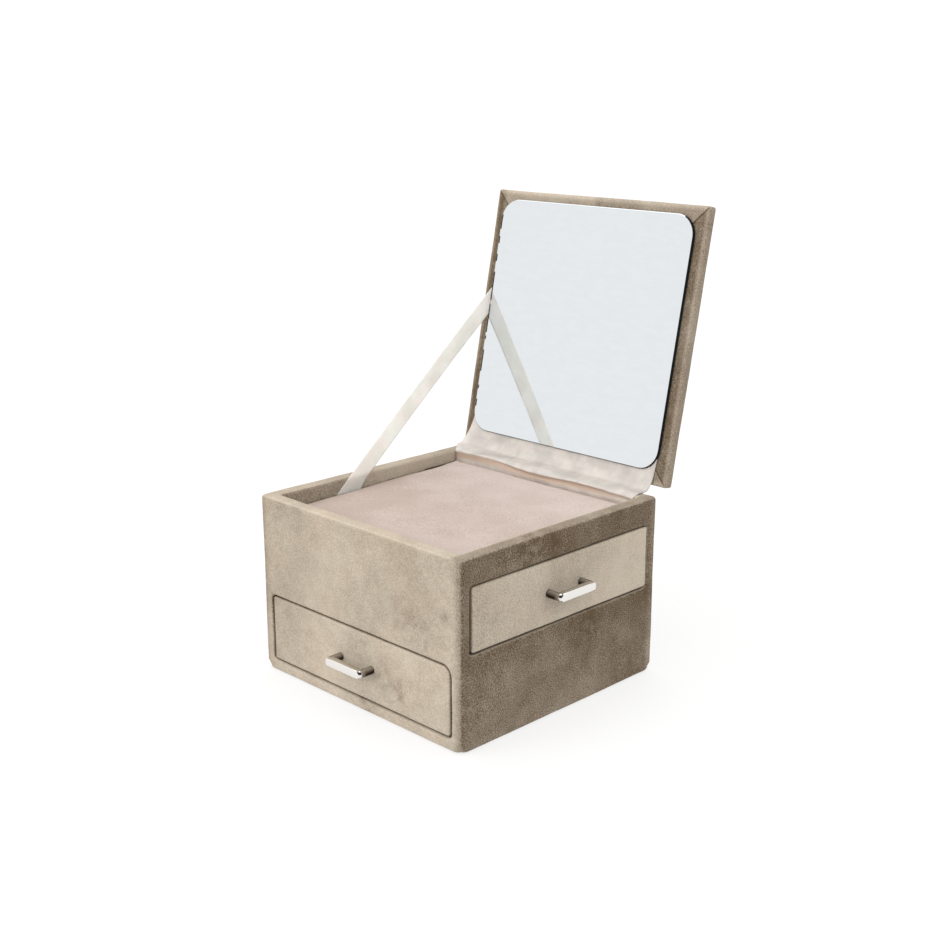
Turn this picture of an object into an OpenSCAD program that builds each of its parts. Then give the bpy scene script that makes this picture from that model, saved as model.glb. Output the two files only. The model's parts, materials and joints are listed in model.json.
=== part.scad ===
// Velvet jewellery case. A board carcass covered in velvet holds a lower drawer that opens to the
// front (-Y) and an upper drawer that opens to the right (+X). A mirrored lid turns on a fabric
// hinge along the rear rim, and stands open as far as its ribbon lets it.
// Millimetres, +Z up. The origin is the centre of the underside.

/* [Case] */
// Outer width, left to right
case_w = 153; // [130:1:200]
// Outer depth, front to back
case_d = 147; // [130:1:200]
// Height from the floor to the top of the rim
case_h = 100; // [90:1:130]
// Width of the velvet-covered rim round the top recess
rim_w = 7.4; // [7.2:0.1:9]
// Depth of the top recess, from the rim down to the pad
recess_depth = 8; // [6:0.5:8.5]
// Thickness of the carcass boards
board_t = 5; // [4:0.1:5.2]
// Thickness of the velvet with its glue
velvet_t = 0.9; // [0.6:0.1:1]
// Radius of the upright edges
edge_r = 2.5; // [2:0.1:3]

/* [Drawers] */
// Height of the lower drawer front above the floor
bottom_margin = 7.3; // [7:0.1:9]
// Height of the rail between the two drawer fronts
mid_rail_h = 7.2; // [6:0.1:12]
// Height of the rail above the upper drawer front
top_rail_h = 15.2; // [15:0.1:20]
// Share of the drawer height that the lower drawer takes
lower_share = 0.518; // [0.45:0.001:0.55]
// Gap round each drawer front
front_gap = 0.7; // [0.5:0.1:0.7]
// How far each drawer front stands proud of the case
front_proud = 0.4; // [0.1:0.1:1]

/* [Handles] */
// Overall length of the bar handle
handle_l = 28.5; // [24:0.5:60]
// How far the handle stands out from the drawer front
handle_out = 10; // [8:0.5:16]
// Thickness of the bar and of its posts, seen from above
handle_t = 4; // [3.5:0.1:5]
// Height of the bar and of its posts, seen from the front
handle_h = 4.5; // [4:0.1:6]

/* [Lid] */
// How far the shut lid reaches past the front wall
lid_front = 1.8; // [0:0.1:3]
// Thickness of the lid with its velvet
lid_t = 5.5; // [5:0.1:8]
// Gap between the rim and the lid's inner face when shut, which the mirror fills
lid_gap = 2.8; // [2.6:0.1:3.2]
// How far the shut lid reaches past the rear wall
lid_back = 1.7; // [1:0.1:2.2]
// Angle between the shut lid and the lid held open by the ribbon
lid_open = 101.5; // [95:0.5:105]
// Velvet margin on each side of the mirror
mirror_side = 6.5; // [5:0.5:20]
// Margin between the lid's rear edge and the mirror, which the satin covers
mirror_up = 7.5; // [6:0.5:20]
// Velvet margin above the mirror, at the lid's front edge
mirror_top = 5; // [5:0.5:20]
// Radius of the mirror's corners
mirror_r = 12; // [4:1:20]

/* [Ribbon] */
// Width of the satin ribbon
ribbon_w = 10; // [6:0.5:14]
// Where the ribbon meets the pad, behind the middle of the case (negative is in front)
ribbon_y = -18.5; // [-30:0.5:0]
// Where the ribbon meets the lid, measured up from the lid's rear edge
ribbon_up = 86.3; // [70:0.1:100]

/* [Hidden] */
$fn = 48;

velvet_colour = [0.68, 0.62, 0.54];
suede_colour = [0.84, 0.76, 0.72];
satin_colour = [0.90, 0.88, 0.84];
board_colour = [0.63, 0.58, 0.50];
liner_colour = [0.35, 0.32, 0.29];
sheet_colour = [0.46, 0.41, 0.37];
chrome_colour = [0.85, 0.85, 0.86];
steel_colour = [0.60, 0.60, 0.62];
mirror_colour = [0.88, 0.92, 0.95];
backing_colour = [0.25, 0.26, 0.28];

// Half widths, from the outside in: outer faces, board outer faces, board inner faces, recess walls
outer_x = case_w / 2;
outer_y = case_d / 2;
board_x = outer_x - velvet_t;
board_y = outer_y - velvet_t;
inner_x = board_x - board_t;
inner_y = board_y - board_t;
recess_x = outer_x - rim_w;
recess_y = outer_y - rim_w;

// Velvet turned into a drawer mouth, how far in it goes, and the cover of the recess's walls
mouth_x = recess_x + front_gap;
mouth_y = recess_y + front_gap;
mouth_deep = 14;

// Heights, from the floor up
sheet_t = 1;
sheet_inset = 1.2;
shelf_t = 3;
card_t = 1;
skin_t = 0.7;
fronts_h = case_h - bottom_margin - mid_rail_h - top_rail_h;
lower_z0 = bottom_margin;
lower_h = fronts_h * lower_share;
lower_z1 = lower_z0 + lower_h;
upper_z0 = lower_z1 + mid_rail_h;
upper_z1 = case_h - top_rail_h;
upper_h = upper_z1 - upper_z0;
mouth_t = 0.8;
clear_z = front_gap + mouth_t;
shelf_z0 = upper_z1 + clear_z;
shelf_z1 = shelf_z0 + shelf_t;
pad_top = case_h - recess_depth;
foam_z1 = pad_top - skin_t;
rim_z0 = case_h - velvet_t;
pad_gap = 0.3;

// Drawer boxes: card thickness, the slack beside and behind them, and the lining
box_t = 2;
box_slack = 0.5;
box_drop = 0.4;
back_slack = 1.6;
side_below_top = 3.5;
lining_t = 0.8;
divider_t = 2;
divider_below = 4;
divider_slack = 0.1;
liner_t = 1.2;
liner_slack = 0.2;
face_t = velvet_t + board_t;
face_r = 1.2;
front_drawer_d = outer_y + front_proud + inner_y - back_slack;
side_drawer_d = outer_x + front_proud + inner_x - back_slack;

// Handle and its screws
post_pitch = handle_l - handle_t;
bend_r = 1.8;
bar_r = 1;
screw_r = 1.2;
screw_bore_r = 1.25;
screw_hole_r = 1.5;
head_r = 2.8;
head_t = 1.4;
head_pocket_r = 3.1;
head_pocket_t = 1.6;
screw_in_post = 5;

// Hinge axis: along X, just behind and above the rear rim
axis_back = 4.45;
axis_up = 0.85;
axis_y = outer_y + axis_back;
axis_z = case_h + axis_up;

// Lid in its shut place
lid_z0 = case_h + lid_gap;
lid_z1 = lid_z0 + lid_t;
lid_y1 = outer_y + lid_back;
lid_y0 = -outer_y - lid_front;
lid_l = lid_y1 - lid_y0;
backing_t = 0.4;
glass_t = 1.6;
mirror_half_x = outer_x - mirror_side;
mirror_half_y = (lid_l - mirror_up - mirror_top) / 2;
mirror_mid_y = lid_y0 + mirror_top + mirror_half_y;

// Fabric strips of the hinge
fabric_clear = 0.1;
satin_t = 0.5;
satin_side = 0.5;
satin_w = 2 * (recess_x - satin_side);
satin_off = satin_t / 2 + fabric_clear;
strip_t = 0.8;
strip_side = 8;
strip_w = case_w - 2 * strip_side;
strip_off = strip_t / 2 + fabric_clear;
strip_down = 14;
strip_up = 12;
fold_r = 3;

// Ribbon: it starts just inside the recess's left wall and ends on the lid's left margin
ribbon_t = 0.5;
ribbon_in = 0.9;
ribbon_out = 3.6;
fabric_lift = 0.2;

// A point of the opened lid, as [y, z]: up from its rear edge, and proud of its inner face
function turned(p) = [
    axis_y + (p[0] - axis_y) * cos(lid_open) + (p[1] - axis_z) * sin(lid_open),
    axis_z - (p[0] - axis_y) * sin(lid_open) + (p[1] - axis_z) * cos(lid_open)
];
function lid_point(up, proud) = turned([lid_y1 - up, lid_z0 - proud]);

// A point on the fold round the hinge axis, as [y, z]
function fold_point(angle) = [axis_y + fold_r * cos(angle), axis_z + fold_r * sin(angle)];

// Box between two corners
module block(x0, x1, y0, y1, z0, z1) {
    translate([x0, y0, z0]) cube([x1 - x0, y1 - y0, z1 - z0]);
}

// Box centred left to right and front to back, given by its half widths
module slab(half_x, half_y, z0, z1) {
    block(-half_x, half_x, -half_y, half_y, z0, z1);
}

module rounded_rect(w, d, r) {
    square([w - 2 * r, d], center = true);
    square([w, d - 2 * r], center = true);
    for (x = [-1, 1]) {
        for (y = [-1, 1]) {
            translate([x * (w / 2 - r), y * (d / 2 - r)]) circle(r);
        }
    }
}

module rounded_slab(half_x, half_y, r, z0, z1) {
    translate([0, 0, z0]) linear_extrude(z1 - z0) rounded_rect(2 * half_x, 2 * half_y, r);
}

// Turns what is drawn in the shut lid's place to the open lid's place
module opened() {
    translate([0, axis_y, axis_z]) rotate([-lid_open, 0, 0]) translate([0, -axis_y, -axis_z]) children();
}

// A strip along X whose section follows [y, z] points; w is its width and t its thickness
module band(points, t, w) {
    rotate([90, 0, 90]) linear_extrude(w, center = true) {
        for (i = [0 : len(points) - 2]) {
            p = points[i];
            q = points[i + 1];
            turn = atan2(q[1] - p[1], q[0] - p[0]);
            translate(p) rotate(turn) translate([0, -t / 2]) square([norm(q - p), t]);
        }
        for (i = [1 : len(points) - 2]) {
            translate(points[i]) circle(t / 2);
        }
    }
}

// ---- Case ----

module base_sheet() {
    color(sheet_colour) rounded_slab(outer_x - sheet_inset, outer_y - sheet_inset, edge_r, 0, sheet_t);
}

module base_board() {
    color(board_colour) slab(board_x, board_y, sheet_t, lower_z0 - clear_z);
}

// Stops at the right board, and is cut away in front of the lower drawer
module front_board() {
    color(board_colour) difference() {
        block(-board_x, inner_x, -board_y, -inner_y, lower_z0 - clear_z, rim_z0);
        block(-inner_x, inner_x + 1, -board_y - 1, -inner_y + 1, lower_z0 - clear_z - 1, lower_z1 + clear_z);
    }
}

module rear_board() {
    color(board_colour) block(-board_x, inner_x, inner_y, board_y, lower_z0 - clear_z, rim_z0);
}

module left_board() {
    color(board_colour) block(-board_x, -inner_x, -inner_y, inner_y, lower_z0 - clear_z, rim_z0);
}

// Runs the whole depth, with a window for the upper drawer
module right_board() {
    color(board_colour) difference() {
        block(inner_x, board_x, -board_y, board_y, lower_z0 - clear_z, rim_z0);
        block(inner_x - 1, board_x + 1, -inner_y, inner_y, upper_z0 - clear_z, upper_z1 + clear_z);
    }
}

module divider_board() {
    color(board_colour) slab(inner_x, inner_y, lower_z1 + clear_z, upper_z0 - clear_z);
}

module shelf_board() {
    color(board_colour) slab(inner_x, inner_y, shelf_z0, shelf_z1);
}

// Floor and two sides that guide the lower drawer
module lower_bay_liner() {
    z0 = lower_z0 - clear_z;
    z1 = lower_z1 + clear_z - liner_slack;
    y0 = -board_y + mouth_deep;
    color(liner_colour) difference() {
        block(-inner_x, inner_x, y0, inner_y, z0, z1);
        block(-inner_x + liner_t, inner_x - liner_t, y0 - 1, inner_y + 1, z0 + mouth_t, z1 + 1);
    }
}

// Floor and two sides that guide the upper drawer
module upper_bay_liner() {
    z0 = upper_z0 - clear_z;
    z1 = upper_z1 + clear_z - liner_slack;
    x1 = board_x - mouth_deep;
    color(liner_colour) difference() {
        block(-inner_x, x1, -inner_y, inner_y, z0, z1);
        block(-inner_x - 1, x1 + 1, -inner_y + liner_t, inner_y - liner_t, z0 + mouth_t, z1 + 1);
    }
}

// Velvet over the outside and the rim, down the recess's walls and into the drawer mouths
module case_velvet() {
    color(velvet_colour) difference() {
        union() {
            difference() {
                rounded_slab(outer_x, outer_y, edge_r, sheet_t, case_h);
                slab(board_x, board_y, 0, rim_z0);
            }
            slab(inner_x, inner_y, shelf_z1, rim_z0);
            block(-inner_x, inner_x, -board_y, -board_y + mouth_deep, lower_z0 - clear_z, lower_z1 + clear_z);
            block(board_x - mouth_deep, board_x, -inner_y, inner_y, upper_z0 - clear_z, upper_z1 + clear_z);
        }
        slab(recess_x, recess_y, shelf_z1 - 1, case_h + 1);
        block(-mouth_x, mouth_x, -outer_y - 1, -board_y + mouth_deep + 1,
            lower_z0 - front_gap, lower_z1 + front_gap);
        block(board_x - mouth_deep - 1, outer_x + 1, -mouth_y, mouth_y,
            upper_z0 - front_gap, upper_z1 + front_gap);
    }
}

module tray_card() {
    color(board_colour) slab(recess_x - pad_gap, recess_y - pad_gap, shelf_z1, shelf_z1 + card_t);
}

module tray_foam() {
    half_x = recess_x - pad_gap - skin_t;
    half_y = recess_y - pad_gap - skin_t;
    color(suede_colour) slab(half_x, half_y, shelf_z1 + card_t, foam_z1);
}

// Suede skin over the top and the edges of the foam
module tray_suede() {
    half_x = recess_x - pad_gap;
    half_y = recess_y - pad_gap;
    color(suede_colour) difference() {
        slab(half_x, half_y, shelf_z1 + card_t, pad_top);
        slab(half_x - skin_t, half_y - skin_t, shelf_z1, foam_z1);
    }
}

// From under the mirror, over the gap and the rear rim, and down to the pad
module hinge_satin() {
    wall_y = recess_y - satin_off;
    rim_z = case_h + satin_off;
    path = [
        lid_point(mirror_up - fabric_clear, satin_off), lid_point(satin_off, satin_off),
        [outer_y - satin_off, rim_z], [wall_y, rim_z], [wall_y, pad_top + fabric_lift]
    ];
    color(satin_colour) band(path, satin_t, satin_w);
}

// Outer strip: up the rear wall, round under the hinge axis, and up the back of the lid
module hinge_velvet() {
    wall_y = outer_y + strip_off;
    back = lid_t + strip_off;
    fold_start = 200;
    fold_end = 330;
    on_wall = [[wall_y, case_h - strip_down], [wall_y, case_h - fold_r - 1], fold_point(fold_start)];
    on_lid = [fold_point(fold_end), lid_point(-strip_off, -back), lid_point(strip_up, -back)];
    color(velvet_colour) {
        band(on_wall, strip_t, strip_w);
        band(on_lid, strip_t, strip_w);
        translate([0, axis_y, axis_z]) rotate([90, 0, 90]) linear_extrude(strip_w, center = true) {
            difference() {
                circle(fold_r + strip_t / 2);
                circle(fold_r - strip_t / 2);
                fold_cut(fold_start, fold_end);
            }
        }
    }
}

// Keeps only the part of the fold between two angles below the axis
module fold_cut(start, end) {
    far = 2 * fold_r;
    polygon([
        [0, 0], far * [cos(end), sin(end)], far * [1, 1], far * [-1, 1], far * [cos(start), sin(start)]
    ]);
}

// Taut from the left edge of the pad to the left margin of the lid
module ribbon_stay() {
    foot = [-recess_x + ribbon_in, ribbon_y, pad_top];
    head = concat([-recess_x - ribbon_out], lid_point(ribbon_up, 0));
    run = head - foot;
    rise = atan2(run[2], run[1]);
    lean = asin(-run[0] / norm(run));
    spare = 2 * ribbon_w;
    color(satin_colour) difference() {
        translate(foot) rotate([rise, 0, 0]) rotate([0, 0, lean])
            translate([-ribbon_t / 2, -spare, -ribbon_w / 2])
                cube([ribbon_t, norm(run) + 2 * spare, ribbon_w]);
        slab(outer_x, outer_y, 0, pad_top + fabric_lift);
        opened() block(-case_w, 0, -case_d, case_d, lid_z0 - fabric_clear, lid_z1 + case_h);
    }
}

// ---- Lid ----

module lid_board() {
    y0 = lid_y0 + velvet_t;
    y1 = lid_y1 - velvet_t;
    color(board_colour) opened() block(-board_x, board_x, y0, y1, lid_z0 + velvet_t, lid_z1 - velvet_t);
}

module lid_velvet() {
    mid_y = (lid_y0 + lid_y1) / 2;
    y0 = lid_y0 + velvet_t;
    y1 = lid_y1 - velvet_t;
    color(velvet_colour) opened() difference() {
        translate([0, mid_y, 0]) rounded_slab(outer_x, lid_l / 2, edge_r, lid_z0, lid_z1);
        block(-board_x, board_x, y0, y1, lid_z0 + velvet_t, lid_z1 - velvet_t);
    }
}

module mirror_plate(z0, z1) {
    opened() translate([0, mirror_mid_y, 0]) rounded_slab(mirror_half_x, mirror_half_y, mirror_r, z0, z1);
}

module mirror_backing() {
    color(backing_colour) mirror_plate(lid_z0 - backing_t, lid_z0);
}

module mirror_glass() {
    color(mirror_colour) mirror_plate(lid_z0 - backing_t - glass_t, lid_z0 - backing_t);
}

// ---- Drawers ----
// Each piece is drawn with the drawer opening towards -Y, its front face at y = 0, its middle at
// x = 0 and the bottom of its front at z = 0. w and h are the front's width and height, d the depth.

module at_front_drawer() {
    translate([0, -outer_y - front_proud, lower_z0]) children();
}

module at_side_drawer() {
    translate([outer_x + front_proud, 0, upper_z0]) rotate([0, 0, 90]) children();
}

// The two places where a handle post meets the front
module at_posts(h) {
    for (side = [-1, 1]) {
        translate([side * post_pitch / 2, 0, h / 2]) rotate([-90, 0, 0]) children();
    }
}

module face_board(w, h) {
    color(board_colour) difference() {
        block(-w / 2 + velvet_t, w / 2 - velvet_t, velvet_t, face_t, velvet_t, h - velvet_t);
        at_posts(h) {
            cylinder(h = face_t + 1, r = screw_hole_r);
            translate([0, 0, face_t - head_pocket_t]) cylinder(h = head_pocket_t + 1, r = head_pocket_r);
        }
    }
}

module face_velvet(w, h) {
    color(velvet_colour) difference() {
        translate([0, face_t, h / 2]) rotate([90, 0, 0]) linear_extrude(face_t) rounded_rect(w, h, face_r);
        block(-w / 2 + velvet_t, w / 2 - velvet_t, velvet_t, face_t + 1, velvet_t, h - velvet_t);
        at_posts(h) translate([0, 0, -1]) cylinder(h = face_t, r = screw_hole_r);
    }
}

module box_bottom(w, d) {
    half = w / 2 - box_slack;
    color(board_colour) block(-half, half, face_t, d, -box_drop, box_t - box_drop);
}

module box_side(w, h, d, side) {
    half = w / 2 - box_slack;
    x0 = side > 0 ? half - box_t : -half;
    color(board_colour) block(x0, x0 + box_t, face_t, d, box_t - box_drop, h - side_below_top);
}

module box_back(w, h, d) {
    half = w / 2 - box_slack - box_t;
    color(board_colour) block(-half, half, d - box_t, d, box_t - box_drop, h - side_below_top);
}

// Suede over the inside of the box: floor and four walls
module box_lining(w, h, d) {
    half = w / 2 - box_slack - box_t;
    z0 = box_t - box_drop;
    color(suede_colour) difference() {
        block(-half, half, face_t, d - box_t, z0, h - side_below_top);
        block(-half + lining_t, half - lining_t, face_t + lining_t, d - box_t - lining_t, z0 + lining_t, h);
    }
}

// Suede-covered card across the middle of the box
module box_divider(w, h, d) {
    half = w / 2 - box_slack - box_t - lining_t - divider_slack;
    mid = (face_t + d - box_t) / 2;
    z0 = box_t - box_drop + lining_t;
    color(suede_colour) block(-half, half, mid - divider_t / 2, mid + divider_t / 2,
        z0, h - side_below_top - divider_below);
}

// Bent square bar: rounded where it turns into its posts, and along its outer edges
module bar_handle(h) {
    color(chrome_colour) difference() {
        intersection() {
            translate([0, 0, h / 2 - handle_h / 2]) linear_extrude(handle_h) difference() {
                translate([0, -handle_out / 2 + bend_r]) rounded_rect(handle_l, handle_out + 2 * bend_r, bend_r);
                translate([-handle_l, 0]) square([2 * handle_l, 2 * handle_out]);
                translate([-post_pitch / 2 + handle_t / 2, -handle_out + handle_t])
                    square([post_pitch - handle_t, 2 * handle_out]);
            }
            translate([0, 0, h / 2]) rotate([90, 0, 90]) linear_extrude(2 * handle_l, center = true)
                translate([-handle_out / 2 + bar_r, 0]) rounded_rect(handle_out + 2 * bar_r, handle_h, bar_r);
        }
        at_posts(h) translate([0, 0, -screw_in_post]) cylinder(h = screw_in_post + 1, r = screw_bore_r);
    }
}

module drawer_screws(h) {
    color(steel_colour) at_posts(h) {
        translate([0, 0, -screw_in_post + head_t]) cylinder(h = face_t + screw_in_post - 2 * head_t, r = screw_r);
        translate([0, 0, face_t - head_t]) cylinder(h = head_t, r = head_r);
    }
}

module front_drawer_face_board() { at_front_drawer() face_board(2 * recess_x, lower_h); }
module front_drawer_face_velvet() { at_front_drawer() face_velvet(2 * recess_x, lower_h); }
module front_drawer_bottom() { at_front_drawer() box_bottom(2 * recess_x, front_drawer_d); }
module front_drawer_left_side() { at_front_drawer() box_side(2 * recess_x, lower_h, front_drawer_d, -1); }
module front_drawer_right_side() { at_front_drawer() box_side(2 * recess_x, lower_h, front_drawer_d, 1); }
module front_drawer_back() { at_front_drawer() box_back(2 * recess_x, lower_h, front_drawer_d); }
module front_drawer_lining() { at_front_drawer() box_lining(2 * recess_x, lower_h, front_drawer_d); }
module front_drawer_divider() { at_front_drawer() box_divider(2 * recess_x, lower_h, front_drawer_d); }
module front_drawer_handle() { at_front_drawer() bar_handle(lower_h); }
module front_drawer_screws() { at_front_drawer() drawer_screws(lower_h); }

module side_drawer_face_board() { at_side_drawer() face_board(2 * recess_y, upper_h); }
module side_drawer_face_velvet() { at_side_drawer() face_velvet(2 * recess_y, upper_h); }
module side_drawer_bottom() { at_side_drawer() box_bottom(2 * recess_y, side_drawer_d); }
module side_drawer_left_side() { at_side_drawer() box_side(2 * recess_y, upper_h, side_drawer_d, -1); }
module side_drawer_right_side() { at_side_drawer() box_side(2 * recess_y, upper_h, side_drawer_d, 1); }
module side_drawer_back() { at_side_drawer() box_back(2 * recess_y, upper_h, side_drawer_d); }
module side_drawer_lining() { at_side_drawer() box_lining(2 * recess_y, upper_h, side_drawer_d); }
module side_drawer_divider() { at_side_drawer() box_divider(2 * recess_y, upper_h, side_drawer_d); }
module side_drawer_handle() { at_side_drawer() bar_handle(upper_h); }
module side_drawer_screws() { at_side_drawer() drawer_screws(upper_h); }

base_sheet();
base_board();
front_board();
rear_board();
left_board();
right_board();
divider_board();
shelf_board();
lower_bay_liner();
upper_bay_liner();
case_velvet();
tray_card();
tray_foam();
tray_suede();
hinge_satin();
hinge_velvet();
ribbon_stay();
lid_board();
lid_velvet();
mirror_backing();
mirror_glass();
front_drawer_face_board();
front_drawer_face_velvet();
front_drawer_bottom();
front_drawer_left_side();
front_drawer_right_side();
front_drawer_back();
front_drawer_lining();
front_drawer_divider();
front_drawer_handle();
front_drawer_screws();
side_drawer_face_board();
side_drawer_face_velvet();
side_drawer_bottom();
side_drawer_left_side();
side_drawer_right_side();
side_drawer_back();
side_drawer_lining();
side_drawer_divider();
side_drawer_handle();
side_drawer_screws();
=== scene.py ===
"""Looks of the velvet jewellery case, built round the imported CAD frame. Metres, +Z up, front is -Y."""
import json
import math

import bmesh
import bpy
from mathutils import Matrix, Vector, noise

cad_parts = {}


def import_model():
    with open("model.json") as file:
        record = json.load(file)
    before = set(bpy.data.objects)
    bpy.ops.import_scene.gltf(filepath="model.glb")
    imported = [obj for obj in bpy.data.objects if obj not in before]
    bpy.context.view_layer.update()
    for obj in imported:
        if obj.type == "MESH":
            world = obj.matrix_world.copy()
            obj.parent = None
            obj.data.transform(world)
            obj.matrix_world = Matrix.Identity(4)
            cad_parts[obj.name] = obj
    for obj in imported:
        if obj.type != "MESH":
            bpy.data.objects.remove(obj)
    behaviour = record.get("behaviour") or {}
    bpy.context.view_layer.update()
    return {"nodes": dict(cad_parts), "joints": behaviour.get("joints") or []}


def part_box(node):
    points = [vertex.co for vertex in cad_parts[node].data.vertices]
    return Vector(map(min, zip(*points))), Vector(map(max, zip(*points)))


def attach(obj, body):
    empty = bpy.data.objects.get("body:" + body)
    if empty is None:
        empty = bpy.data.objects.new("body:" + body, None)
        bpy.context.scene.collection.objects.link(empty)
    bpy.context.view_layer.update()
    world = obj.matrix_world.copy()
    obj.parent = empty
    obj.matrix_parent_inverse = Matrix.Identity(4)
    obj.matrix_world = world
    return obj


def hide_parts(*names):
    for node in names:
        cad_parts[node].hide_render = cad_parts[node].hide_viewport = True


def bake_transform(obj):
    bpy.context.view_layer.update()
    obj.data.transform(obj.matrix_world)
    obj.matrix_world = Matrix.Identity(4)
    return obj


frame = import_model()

MM = 0.001

# ---------- sizes from the frame

CASE_X, CASE_Y, RIM_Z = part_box("case_velvet")[1]
pad_lo, pad_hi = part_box("tray_suede")
PAD_GAP = 0.3 * MM
RECESS_X, RECESS_Y = pad_hi.x + PAD_GAP, pad_hi.y + PAD_GAP
SHELF_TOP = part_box("shelf_board")[1].z
VELVET = CASE_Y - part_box("rear_board")[1].y
# Thickness of the velvet's own sheet, without its glue
PILE = 0.6 * VELVET
# How far inside the velvet's outer face a board of the visual model ends
BOARD_IN = VELVET + 0.05 * MM
# Gap round a drawer's front
FRONT_GAP = 0.9 * MM
# How far the pad's top stands over the CAD one, and how far it leans to each side of that
PAD_RISE = 0.4 * MM
TILT = 1.5 * MM
# Where along its left edge the pad stands off from the velvet
PAD_GAP_Y = 43 * MM

hinge = next(j for j in frame["joints"] if j["type"] == "hinge")
HINGE = Vector(hinge["pos_m"])
LID_TURN = math.radians(hinge["range_deg"][1])
TO_OPEN = Matrix.Translation(HINGE) @ Matrix.Rotation(-LID_TURN, 4, "X") @ Matrix.Translation(-HINGE)
TO_SHUT = TO_OPEN.inverted()
# The way that the open lid's inner face looks
LID_FACES = TO_OPEN.to_3x3() @ Vector((0, 0, -1))


def shut_box(node):
    """Corners of a lid node with the lid shut."""
    points = [TO_SHUT @ v.co for v in frame["nodes"][node].data.vertices]
    low = Vector(min(p[i] for p in points) for i in range(3))
    high = Vector(max(p[i] for p in points) for i in range(3))
    return low, high


lid_lo, lid_hi = shut_box("lid_velvet")
glass_lo, glass_hi = shut_box("mirror_glass")
MIRROR_R = 12 * MM


def lid_point(x, up, proud):
    """A point of the open lid: x, up from its rear edge, and proud of its inner face."""
    return TO_OPEN @ Vector((x, lid_hi.y - up, lid_lo.z - proud))


RIBBON_WIDE = 10 * MM
RIBBON_FOOT = Vector((-RECESS_X + 0.35 * MM, -18.5 * MM, pad_hi.z))
RIBBON_HEAD = lid_point(-glass_hi.x - 0.45 * MM, 85.6 * MM, 0.2 * MM)


def pad_top(y):
    """Height of the pad's top, which leans forward a little."""
    return pad_hi.z + PAD_RISE + TILT * y / pad_hi.y


# ---------- mesh helpers

def make_object(name, shape, material, body, cad_nodes):
    """A smooth-shaded piece of a shape (points, faces) that rides on a body and stands for CAD nodes."""
    mesh = bpy.data.meshes.new(name)
    mesh.from_pydata([tuple(v) for v in shape[0]], [], shape[1])
    mesh.validate()
    mesh.materials.append(material)
    mesh.polygons.foreach_set("use_smooth", [True] * len(mesh.polygons))
    mesh.update()
    piece = bpy.data.objects.new(name, mesh)
    bpy.context.scene.collection.objects.link(piece)
    fix_normals(piece)
    if body:
        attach(piece, body)
    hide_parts(*cad_nodes)
    return piece


def fix_normals(piece):
    """Welds doubled points and turns all faces outwards."""
    bm = bmesh.new()
    bm.from_mesh(piece.data)
    bmesh.ops.remove_doubles(bm, verts=bm.verts, dist=0.002 * MM)
    bmesh.ops.recalc_face_normals(bm, faces=bm.faces)
    bm.to_mesh(piece.data)
    bm.free()
    piece.data.update()


def apply_modifiers(piece):
    """Puts the result of the modifiers into the mesh."""
    graph = bpy.context.evaluated_depsgraph_get()
    final = bpy.data.meshes.new_from_object(piece.evaluated_get(graph))
    piece.modifiers.clear()
    piece.data = final


def solidify(piece, thickness, offset=-1):
    """Gives a sheet its thickness, inwards, or to both sides at offset 0."""
    modifier = piece.modifiers.new("thickness", "SOLIDIFY")
    modifier.thickness = thickness
    modifier.offset = offset
    apply_modifiers(piece)


def ripple(piece, sizes, seed=0.0, keep=None):
    """Moves points along their normals by noise; sizes holds (wavelength, height) pairs in millimetres."""
    mesh = piece.data
    normals = [v.normal.copy() for v in mesh.vertices]
    for v, normal in zip(mesh.vertices, normals):
        share = keep(v.co) if keep else 1.0
        move = sum(h * MM * noise.noise(v.co / (w * MM) + Vector((seed, 0, 0))) for w, h in sizes)
        v.co += normal * move * share
    mesh.update()


def paint(piece, name, rule):
    """Stores rule(point, normal) on every point, for the material to read."""
    mesh = piece.data
    values = mesh.attributes.new(name, "FLOAT", "POINT")
    values.data.foreach_set("value", [rule(v.co, v.normal) for v in mesh.vertices])


def ramp(low, high, value):
    """Smooth change from 0 at low to 1 at high, where low may be the larger."""
    t = min(1.0, max(0.0, (value - low) / (high - low)))
    return t * t * (3 - 2 * t)


def bump_at(value, middle, width, power=2):
    """A bump of height 1 that has faded about a width away from its middle."""
    return math.exp(-(((value - middle) / width) ** power))


def subdivide(places, step):
    """The places in order, with stops added so that none are more than a step apart."""
    places = sorted(places)
    result = places[:1]
    for a, b in zip(places, places[1:]):
        parts = max(1, math.ceil((b - a) / step - 1e-6))
        result += [a + (b - a) * i / parts for i in range(1, parts + 1)]
    return result


def stops(half, step, fine=(), ends=()):
    """Places from -half to half, also at fine, and at the gaps ends from both ends."""
    near = [half - gap for gap in ends]
    return subdivide({-half, half, *fine, *near, *(-place for place in near)}, step)


def boundary(xs, ys):
    """Indices (i, j) round the edge of a grid, counter-clockwise."""
    last_x, last_y = len(xs) - 1, len(ys) - 1
    walk = [(i, 0) for i in range(last_x)]
    walk += [(last_x, j) for j in range(last_y)]
    walk += [(i, last_y) for i in range(last_x, 0, -1)]
    walk += [(0, j) for j in range(last_y, 0, -1)]
    return walk


def corner_radius(radii, x, y):
    """A point's corner radius, from (lower left, lower right, upper right, upper left)."""
    if y < 0:
        return radii[0] if x < 0 else radii[1]
    return radii[3] if x < 0 else radii[2]


def on_rounded(x, y, half_x, half_y, radius):
    """Moves a point of a rectangle's edge onto one with rounded corners."""
    core_x = max(-(half_x - radius), min(half_x - radius, x))
    core_y = max(-(half_y - radius), min(half_y - radius, y))
    away = Vector((x - core_x, y - core_y))
    if away.length < 1e-9:
        return x, y
    away.normalize()
    return core_x + away.x * radius, core_y + away.y * radius


def arc(radius, parts):
    """(inset, drop) round a quarter-round edge, from the flat face to the side."""
    turns = [math.pi / 2 * i / parts for i in range(parts + 1)]
    return [(radius * (1 - math.sin(a)), radius * (1 - math.cos(a))) for a in turns]


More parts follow.
